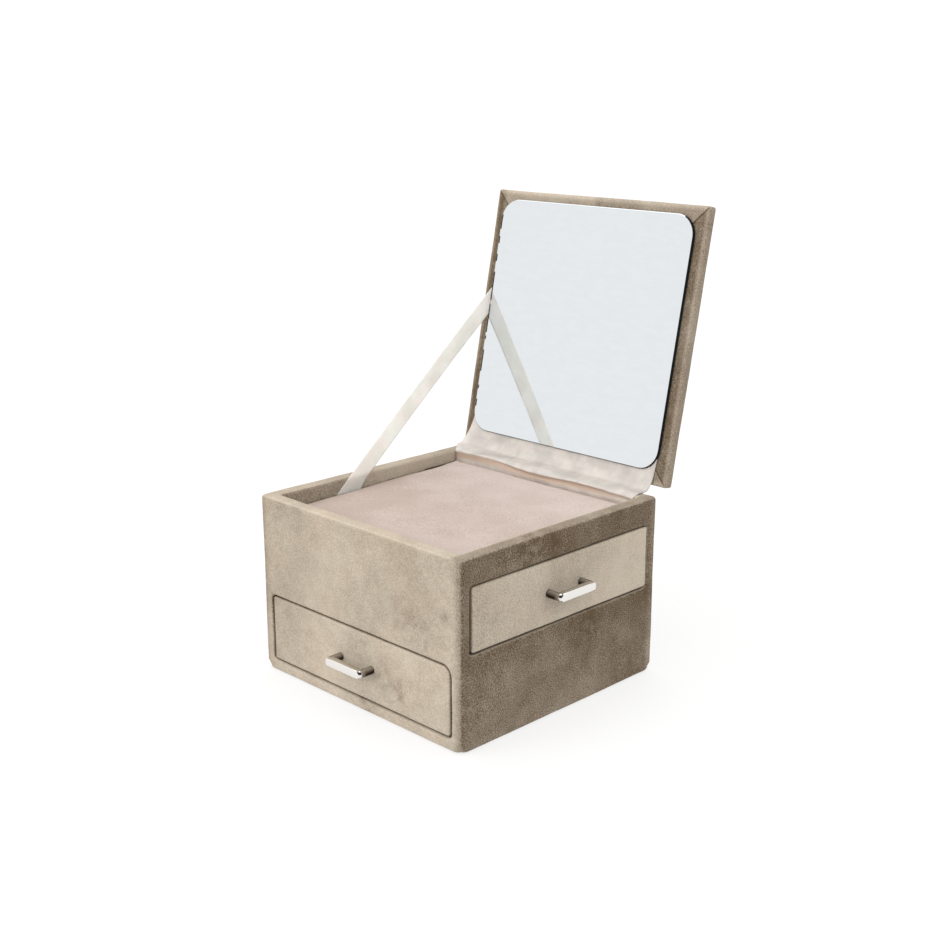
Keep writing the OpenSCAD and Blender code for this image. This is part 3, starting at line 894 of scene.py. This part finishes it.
def soft_divider(name):
    """Suede-covered divider with a rounded top."""
    low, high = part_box(name + "_divider")
    middle, half, tall = (low + high) / 2, (high - low) / 2, high.z - low.z
    edge = 0.8 * min(half.x, half.y)
    slab = Slab(half.x, half.y, 0.5 * edge, 2.5 * MM, inset=0.9 * edge)
    sections = [(i, tall - d) for i, d in arc(edge, 5)]
    sections += [(0.0, tall - edge - (tall - edge) * i / 6) for i in range(1, 7)]
    foot = Vector((middle.x, middle.y, low.z))
    shape = slab.build(lambda v: v + foot, sections, tall, 0.0)
    cad = [name + "_divider"]
    piece = make_object(name + "_soft_divider", shape, suede_cloth, name, cad)
    ripple(piece, [(14, 0.25)], seed=6.4, keep=lambda point: point.z > low.z + 1 * MM)
    paint(piece, "nap_and_shading", lambda point, normal: 0.5)


def drawer(name, place, sit, corners, marks):
    """All pieces of a drawer, with its front moved by sit (along, up, out)."""
    front = place, sit, corners, *face_of(name)[1:]
    drawer_front(name, *front, marks)
    face_board(name, *front)
    pull_handle(name, place)
    soft_lining(name)
    soft_divider(name)


# Marks of fingers: along and up from the front's middle, and radius, in millimetres
front_marks = [(22, -2, 7), (32, -6, 9), (4, 9, 6)]
side_marks = [(-9, -8, 5)]
drawer("front_drawer", at_front, Vector((0, SIT_UP, 0)), FRONT_CORNERS, front_marks)
drawer("side_drawer", at_side, Vector((SIT_BACK, SIT_UP, 0)), SIDE_CORNERS, side_marks)


# ---------- tray pad

def swell(piece, pressure, cap, fixed):
    """Short cloth simulation that puffs a piece up, by no more than cap."""
    before = [v.co.copy() for v in piece.data.vertices]
    group = piece.vertex_groups.new(name="fixed")
    group.add([i for i, co in enumerate(before) if fixed(co)], 1.0, "REPLACE")
    modifier = piece.modifiers.new("swell", "CLOTH")
    cloth = modifier.settings
    cloth.quality = 5
    cloth.mass = 0.2
    cloth.use_pressure = True
    cloth.uniform_pressure_force = pressure
    cloth.vertex_group_mass = "fixed"
    cloth.effector_weights.gravity = 0
    for frame_number in range(1, 21):
        bpy.context.scene.frame_set(frame_number)
    apply_modifiers(piece)
    bpy.context.scene.frame_set(1)
    for v, start in zip(piece.data.vertices, before):
        move = v.co - start
        if move.length > cap:
            v.co = start + move * (cap / move.length)
    piece.data.update()


def tray_pad():
    """Suede pad that leans forward, pressed in at its left where the ribbon goes down."""
    half_x, half_y = pad_hi.x, pad_hi.y
    slab = Slab(half_x, half_y, 1.5 * MM, 2.2 * MM, ends=(0.6 * MM, 1.5 * MM))
    bottom, thick = pad_lo.z, pad_hi.z - pad_lo.z

    def leaning(v):
        return Vector((v.x, v.y, bottom + v.z / thick * (pad_top(v.y) - bottom)))

    shape = slab.build(leaning, slab_sections(thick, 0.9 * MM), thick, 0.0)
    cad = ["tray_suede", "tray_foam"]
    piece = make_object("tray_pad", shape, suede_cloth, "case", cad)
    swell(piece, 3.0, 0.5 * MM, lambda co: co.z < bottom + 0.5 * MM)
    ripple(piece, [(45, 0.35), (14, 0.1)], seed=5.5)
    for v in piece.data.vertices:
        by_edge = ramp(-half_x + 3 * MM, -half_x, v.co.x)
        dent = by_edge * bump_at(v.co.y, RIBBON_FOOT.y, 9 * MM, 4)
        gap = by_edge * bump_at(v.co.y, PAD_GAP_Y, 11 * MM, 4)
        v.co.x += (0.75 * dent + 1.5 * gap) * MM
        v.co.z -= 0.6 * MM * gap
        v.co.x = max(-half_x, min(half_x, v.co.x))
        v.co.y = max(-half_y, min(half_y - 0.9 * MM, v.co.y))
    piece.data.update()

    def nap_and_shading(point, normal):
        to_left = ramp(0.0, -half_x, point.x)
        return 0.72 + 0.2 * to_left - 0.72 * max(0.0, point.y / half_y)

    paint(piece, "nap_and_shading", nap_and_shading)


tray_pad()


# ---------- lid

LID_EDGE, LID_MARGIN = 1.3 * MM, 15 * MM


def lid_cover():
    """Velvet over the lid's board, its corners folded in a mitre on the inner face."""
    half_x, half_y = CASE_X + PUFF, (lid_hi.y - lid_lo.y + PUFF) / 2
    middle = Vector((0, (lid_lo.y - PUFF + lid_hi.y) / 2, lid_lo.z))
    thick = lid_hi.z - lid_lo.z + 0.2 * MM
    near = (0.25 * MM, 0.6 * MM, 1.2 * MM)
    slab = Slab(half_x, half_y, 1.5 * MM, 2 * MM, ends=near, inset=LID_MARGIN + 1 * MM)
    sections = slab_sections(thick, LID_EDGE, 6, extra=[LID_MARGIN - i * MM for i in range(13)])
    shape = slab.build(lambda v: TO_OPEN @ (v + middle), sections, thick, 0.0)
    piece = make_object("lid_velvet_cover", shape, velvet_cloth, "lid", ["lid_velvet"])
    ripple(piece, [(34, 0.2), (9, 0.06)], seed=11.3)

    def from_edges(point):
        """Distances from the nearest side edge, the nearest end edge and the inner face."""
        shut = TO_SHUT @ point
        return half_x - abs(shut.x), half_y - abs(shut.y - middle.y), shut.z - lid_lo.z

    for v in piece.data.vertices:
        from_x, from_y, deep = from_edges(v.co)
        if deep < thick / 2 and 0.9 * MM < from_x < LID_MARGIN:
            crease = bump_at(from_x, from_y, 0.3 * MM)
            ridge = bump_at(from_x, from_y + 0.8 * MM, 0.5 * MM)
            v.co += LID_FACES * (0.18 * ridge - 0.4 * crease) * MM
    piece.data.update()

    def nap_and_shading(point, normal):
        """Painted shade in the mitre's crease, and a painted highlight on the margin's rolled edge."""
        from_x, from_y, deep = from_edges(point)
        inner = ramp(thick * 0.6, 0.5 * MM, deep)
        rolled_highlight = ramp(3.2 * MM, 1.6 * MM, min(from_x, from_y))
        sideways = ramp(1 * MM, -1 * MM, from_x - from_y)
        margin_nap = 0.58 + 0.22 * sideways
        if point.x < 0:
            to_glass = half_x - glass_hi.x - from_x
            margin_nap += 0.14 - 0.28 * ramp(2.5 * MM, 0.5 * MM, to_glass)
        crease = bump_at(from_x, from_y, 0.35 * MM) if from_x > 0.9 * MM else 0.0
        return 0.58 + inner * (margin_nap - 0.58 - 0.28 * rolled_highlight + 0.5 * crease)

    paint(piece, "nap_and_shading", nap_and_shading)


def mirror():
    """Silvered glass with a bevel and a dark ground edge; the bevel where it faces right or down, and dashes
    along the left end, carry a painted dark reflection.
    """
    half_x, half_y = glass_hi.x, (glass_hi.y - glass_lo.y) / 2
    middle = Vector((0, (glass_lo.y + glass_hi.y) / 2, glass_lo.z))
    thick = glass_hi.z - glass_lo.z
    slab = Slab(half_x, half_y, MIRROR_R, 2 * MM, ends=[i * MM for i in range(1, 9)], inset=6 * MM)
    bevel, painted_dash_width = 0.35 * MM, 1.1 * MM
    sections = [(1.6 * MM, thick), (0.0, thick), (0.0, bevel), (bevel, 0.0), (painted_dash_width, 0.0), (1.6 * MM, 0.0)]
    shape = slab.build(lambda v: TO_OPEN @ (v + middle), sections, thick, 0.0)
    piece = make_object("mirror_plate", shape, silver, "lid", ["mirror_glass"])
    piece.data.materials.append(ground_edge)
    for p in piece.data.polygons:
        p.use_smooth = False
        lean = p.normal.dot(LID_FACES)
        # Painted dark reflection: the bevel facing right or down, and dashes along the left end, take the
        # dark edge material.
        dark = p.normal.x > 0.3 or p.normal.z < -0.3
        in_ring = p.center.x < -half_x + painted_dash_width and lean > 0.6
        painted_dash = in_ring and noise.noise(p.center / (2.6 * MM)) > -0.22
        p.material_index = 1 if lean < 0.5 or (lean < 0.9 and dark) or painted_dash else 0


lid_cover()
mirror()


# ---------- hinge fabrics and ribbon

def strip(name, rows, thickness, material, cad_nodes):
    """Cloth sheet from rows of points, with uv in shares across and along."""
    high, wide = len(rows), len(rows[0])
    verts = [p for row in rows for p in row]
    corners = [r * wide + c for r in range(high - 1) for c in range(wide - 1)]
    faces = [(a, a + 1, a + wide + 1, a + wide) for a in corners]
    piece = make_object(name, (verts, faces), material, None, cad_nodes)
    layer = piece.data.uv_layers.new(name="UVMap")
    for loop in piece.data.loops:
        r, c = divmod(loop.vertex_index, wide)
        layer.data[loop.index].uv = (c / (wide - 1), r / (high - 1))
    solidify(piece, thickness, offset=0)
    return piece


def curve_through(points, parts):
    """Points along a Catmull-Rom curve through the given ones."""
    ends = [2 * points[0] - points[1], *points, 2 * points[-1] - points[-2]]
    made = []
    for a, b, c, d in zip(ends, ends[1:], ends[2:], ends[3:]):
        for i in range(parts):
            t = i / parts
            bend = 2 * b + (c - a) * t + (2 * a - 5 * b + 4 * c - d) * t * t
            made.append(0.5 * (bend + (3 * b - a - 3 * c + d) * t ** 3))
    return made + [points[-1]]


def mirror_outline(x):
    """How far up the lid the mirror's lower edge is at x."""
    up = lid_hi.y - glass_hi.y
    into_corner = abs(x) - (glass_hi.x - MIRROR_R)
    if into_corner <= 0:
        return up
    return up + MIRROR_R - math.sqrt(max(0.0, MIRROR_R ** 2 - into_corner ** 2))


def waver(share, wavelength, seed):
    """Smooth noise from -1 to 1 along a strip."""
    return 2 * noise.noise(Vector((share * 2 * RECESS_X / wavelength, seed, 0)))


def fold_lift(share):
    """Rise and fall of the satin's fold along the hinge, from -1 to 1."""
    return math.cos(2 * math.pi * (share - 0.19) / 0.56)


# Left and right end of each row of the satin, from the mirror down to the pad, in millimetres
SATIN_ENDS = [
    (-69.7, 69.0), (-71.3, 68.8), (-73.9, 68.4), (-75.0, 68.2), (-74.6, 68.0),
    (-71.5, 67.7), (-68.7, 67.2), (-68.5, 67.0), (-68.4, 66.7), (-68.4, 66.5),
]


def satin_line(share):
    """Points from under the mirror to the pad, at a share of the width from the left."""
    xs = [(left + share * (right - left)) * MM for left, right in SATIN_ENDS]
    ends = 0.35 + 0.65 * (abs(share - 0.5) * 2) ** 3
    droop = ramp(0.12, 0.45, share)
    slow, quick = waver(share, 26 * MM, 1.3), waver(share, 7 * MM, 4.7) * ends
    lift = fold_lift(share)
    up = mirror_outline(xs[0]) + 0.15 * MM
    # On the lid: height up it, and millimetres proud of it
    on_lid = [(up, 0.55), (0.62 * up, 0.85 + 0.25 * quick), (0.2 * up, 1.3 + 0.45 * quick)]
    # On the case: y, and millimetres above the rim
    on_case = [
        (CASE_Y + 2.8 * MM, 1.5 + 0.5 * slow),
        (CASE_Y - 1.2 * MM, 0.95 + 0.35 * slow),
        (RECESS_Y + 2.2 * MM, 0.75 + 0.35 * quick),
        (
            RECESS_Y - (0.5 + 1.2 * droop + 0.7 * slow) * MM,
            0.1 - 0.5 * droop + 0.55 * lift + 0.3 * slow + 0.3 * quick,
        ),
        (RECESS_Y - (0.5 + 0.1 * droop + 0.3 * slow) * MM, -1.7 - 0.5 * droop + 0.6 * lift),
        (RECESS_Y - (0.9 + 0.9 * droop) * MM, -4.0),
        (RECESS_Y - 0.9 * MM, (pad_top(pad_hi.y) - RIM_Z) / MM - 1.0),
    ]
    points = [lid_point(x, high, proud * MM) for x, (high, proud) in zip(xs, on_lid)]
    points += [Vector((x, y, RIM_Z + over * MM)) for x, (y, over) in zip(xs[3:], on_case)]
    return curve_through(points, 5)


def hinge_satin():
    """Satin from under the mirror, over the gap and the rear rim, and down to the pad."""
    rows = list(zip(*(satin_line(c / 150) for c in range(151))))
    piece = strip("hinge_satin_lining", rows, 0.3 * MM, satin_cloth, ["hinge_satin"])

    def fold(point, normal):
        """The tan shadow under the fold, which fades towards the right end."""
        share = (point.x + RECESS_X) / (2 * RECESS_X)
        below = RIM_Z + 0.55 * MM * fold_lift(share) - point.z
        under = ramp(0.5 * MM, 1.7 * MM, below) * (1 - 0.8 * ramp(3.0 * MM, 5.2 * MM, below))
        return under * (1 - 0.5 * ramp(0.8, 0.98, share))

    paint(piece, "fold", fold)
    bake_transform(piece)


def hinge_strip():
    """Velvet strip up the rear wall, round the hinge and up the lid's back."""
    low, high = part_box("hinge_velvet")
    half = high.x - 5.5 * MM
    back = lid_hi.z - lid_lo.z
    wall = CASE_Y + 0.6 * MM
    path = [Vector((0, wall, low.z)), Vector((0, wall, low.z + 5 * MM))]
    path += [Vector((0, wall + 0.1 * MM, RIM_Z - 5 * MM))]
    turns = [math.radians(degrees) for degrees in (225, 255, 285, 315)]
    path += [HINGE + 3 * MM * Vector((0, math.cos(turn), math.sin(turn))) for turn in turns]
    path += [lid_point(0, -0.7 * MM, -back * 0.5), lid_point(0, -0.2 * MM, -back - 0.4 * MM)]
    path += [lid_point(0, 3 * MM, -back - 0.6 * MM), lid_point(0, 12 * MM, -back - 0.5 * MM)]
    xs = [half * (2 * c / 90 - 1) for c in range(91)]
    rows = [[p + Vector((x, 0, 0)) for x in xs] for p in curve_through(path, 5)]
    piece = strip("hinge_velvet_strip", rows, 0.7 * MM, velvet_cloth, ["hinge_velvet"])
    ripple(piece, [(16, 0.3), (6, 0.1)], seed=9.1)
    paint(piece, "nap_and_shading", lambda point, normal: 0.48)
    start, end = (0, CASE_Y + 1 * MM, RIM_Z - 2 * MM), lid_point(0, 0, -back)
    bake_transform(piece)
    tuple(start)
    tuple(end)


def ribbon():
    """Satin ribbon, taut from beside the pad to the mirror's left edge."""
    run = (RIBBON_HEAD - RIBBON_FOOT).normalized()
    across = Vector((0, -run.z, run.y)).normalized()
    out = run.cross(across)
    bottom = RIBBON_FOOT.z - 1.2 * MM
    parts, columns = 90, 14
    lines = []
    for c in range(columns + 1):
        u = c / columns - 0.5
        through = RIBBON_FOOT + across * (u * RIBBON_WIDE)
        low = through + run * ((bottom - through.z) / run.z)
        high = through + run * ((RIBBON_HEAD - through).dot(LID_FACES) / run.dot(LID_FACES))
        line = []
        for r in range(parts + 1):
            share = r / parts
            cup = 0.3 * MM * math.cos(math.pi * u) * math.sin(math.pi * share) ** 0.5
            wave = 0.3 * MM * noise.noise(Vector((share * 5, u * 1.5, 4))) * math.sin(math.pi * share)
            bow = 1.3 * MM * math.sin(math.pi * share) ** 0.4
            flare = 2.2 * MM * (0.5 - u) * max(0.0, 1 - share / 0.09) ** 2
            line.append(low.lerp(high, share) + out * (cup + wave) + across * (bow - flare))
        lines.append(line)
    piece = strip("ribbon_stay_satin", list(zip(*lines)), 0.25 * MM, ribbon_cloth, ["ribbon_stay"])
    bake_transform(piece)


hinge_satin()
hinge_strip()
ribbon()


# ---------- CAD nodes that stay in view

def finish_of(name):
    """The material of a CAD node by its name."""
    finishes = {
        "tray_card": greyboard, "mirror_backing": ground_edge,
        "lower_bay_liner": flocked, "upper_bay_liner": flocked,
    }
    if name in finishes:
        return finishes[name]
    if name.endswith("_screws"):
        return steel
    return greyboard if "drawer" in name else fibreboard


for name, node in frame["nodes"].items():
    for slot in node.material_slots:
        slot.link = "OBJECT"
        slot.material = finish_of(name)


# ---------- stage, light and camera

AZIMUTH, ELEVATION = math.radians(45.0), math.radians(16.0)
LEVEL = math.cos(ELEVATION)
# From the object back to the camera
BACK = Vector((math.sin(AZIMUTH) * LEVEL, -math.cos(AZIMUTH) * LEVEL, math.sin(ELEVATION)))
AIM = Vector((30.75, -18.05, 121.3)) * MM
DISTANCE = 723.7 * MM
LENS_MM, SENSOR_MM = 53.86, 36


def place_in_scene(name, data, place, way):
    """Links a light or camera at a place, looking along a way."""
    obj = bpy.data.objects.new(name, data)
    obj.location = place
    obj.rotation_mode = "QUATERNION"
    obj.rotation_quaternion = way.to_track_quat("-Z", "Y")
    bpy.context.scene.collection.objects.link(obj)
    return obj


def floor():
    """White floor that gives off some light."""
    mesh = bpy.data.meshes.new("floor")
    corners = [(-6.0, -6.0, 0), (6.0, -6.0, 0), (6.0, 6.0, 0), (-6.0, 6.0, 0)]
    mesh.from_pydata(corners, [], [(0, 1, 2, 3)])
    plane = bpy.data.objects.new("floor", mesh)
    bpy.context.scene.collection.objects.link(plane)
    s = Shader("floor_white")
    s.set(Base_Color=(0.22, 0.22, 0.22, 1), Roughness=0.9)
    s.set(Emission_Color=(1.0, 1.0, 1.0, 1), Emission_Strength=0.70)
    mesh.materials.append(s.material)


def area_light(name, place, target, size, watts):
    """Round light aimed at a target, and not mirrored in glass or metal."""
    lamp = bpy.data.lights.new(name, "AREA")
    lamp.shape = "DISK"
    lamp.size = size
    lamp.energy = watts
    place_in_scene(name, lamp, place, Vector(target) - Vector(place)).visible_glossy = False


def world():
    """White studio, brighter overhead, with a dark gap at the camera for the metal to reflect."""
    studio = bpy.data.worlds.new("studio")
    bpy.context.scene.world = studio
    studio.use_nodes = True
    s = Nodes(studio.node_tree)
    way = s.node("TexCoord").outputs["Generated"]
    up = s.node("SeparateXYZ", {0: way}).outputs["Z"]
    glow = s.remap(up, math.sin(math.radians(25)), math.sin(math.radians(75)))
    sky = s.mix(glow, (1.0, 1.0, 1.0, 1), (1.9, 1.88, 1.85, 1))
    to_camera = Vector((1, -1, 0.95)).normalized()
    near = s.node("VectorMath", {0: way, 1: to_camera}, operation="DOT_PRODUCT").outputs["Value"]
    gap = s.remap(near, math.cos(math.radians(52)), math.cos(math.radians(42)))
    rays = s.node("LightPath").outputs
    sky = s.mix(s.math("MULTIPLY", gap, rays["Is Glossy Ray"]), sky, (0.04, 0.04, 0.04, 1))
    background = s.tree.nodes["Background"].inputs
    s.feed(background["Color"], s.mix(rays["Is Camera Ray"], sky, (1.1, 1.1, 1.1, 1)))
    s.feed(background["Strength"], 0.985)


def camera():
    """At the photograph's angle, and level."""
    data = bpy.data.cameras.new("camera")
    data.sensor_width = SENSOR_MM
    data.lens = LENS_MM
    bpy.context.scene.camera = place_in_scene("camera", data, AIM + BACK * DISTANCE, -BACK)


floor()
world()
camera()
area_light("key", (-0.4, -1.0, 0.45), (0, 0, 0.06), 0.7, 5)
area_light("fill", (0.9, -0.5, 0.9), (0, 0, 0.08), 0.9, 1.5)
bpy.context.scene.view_settings.view_transform = "Standard"
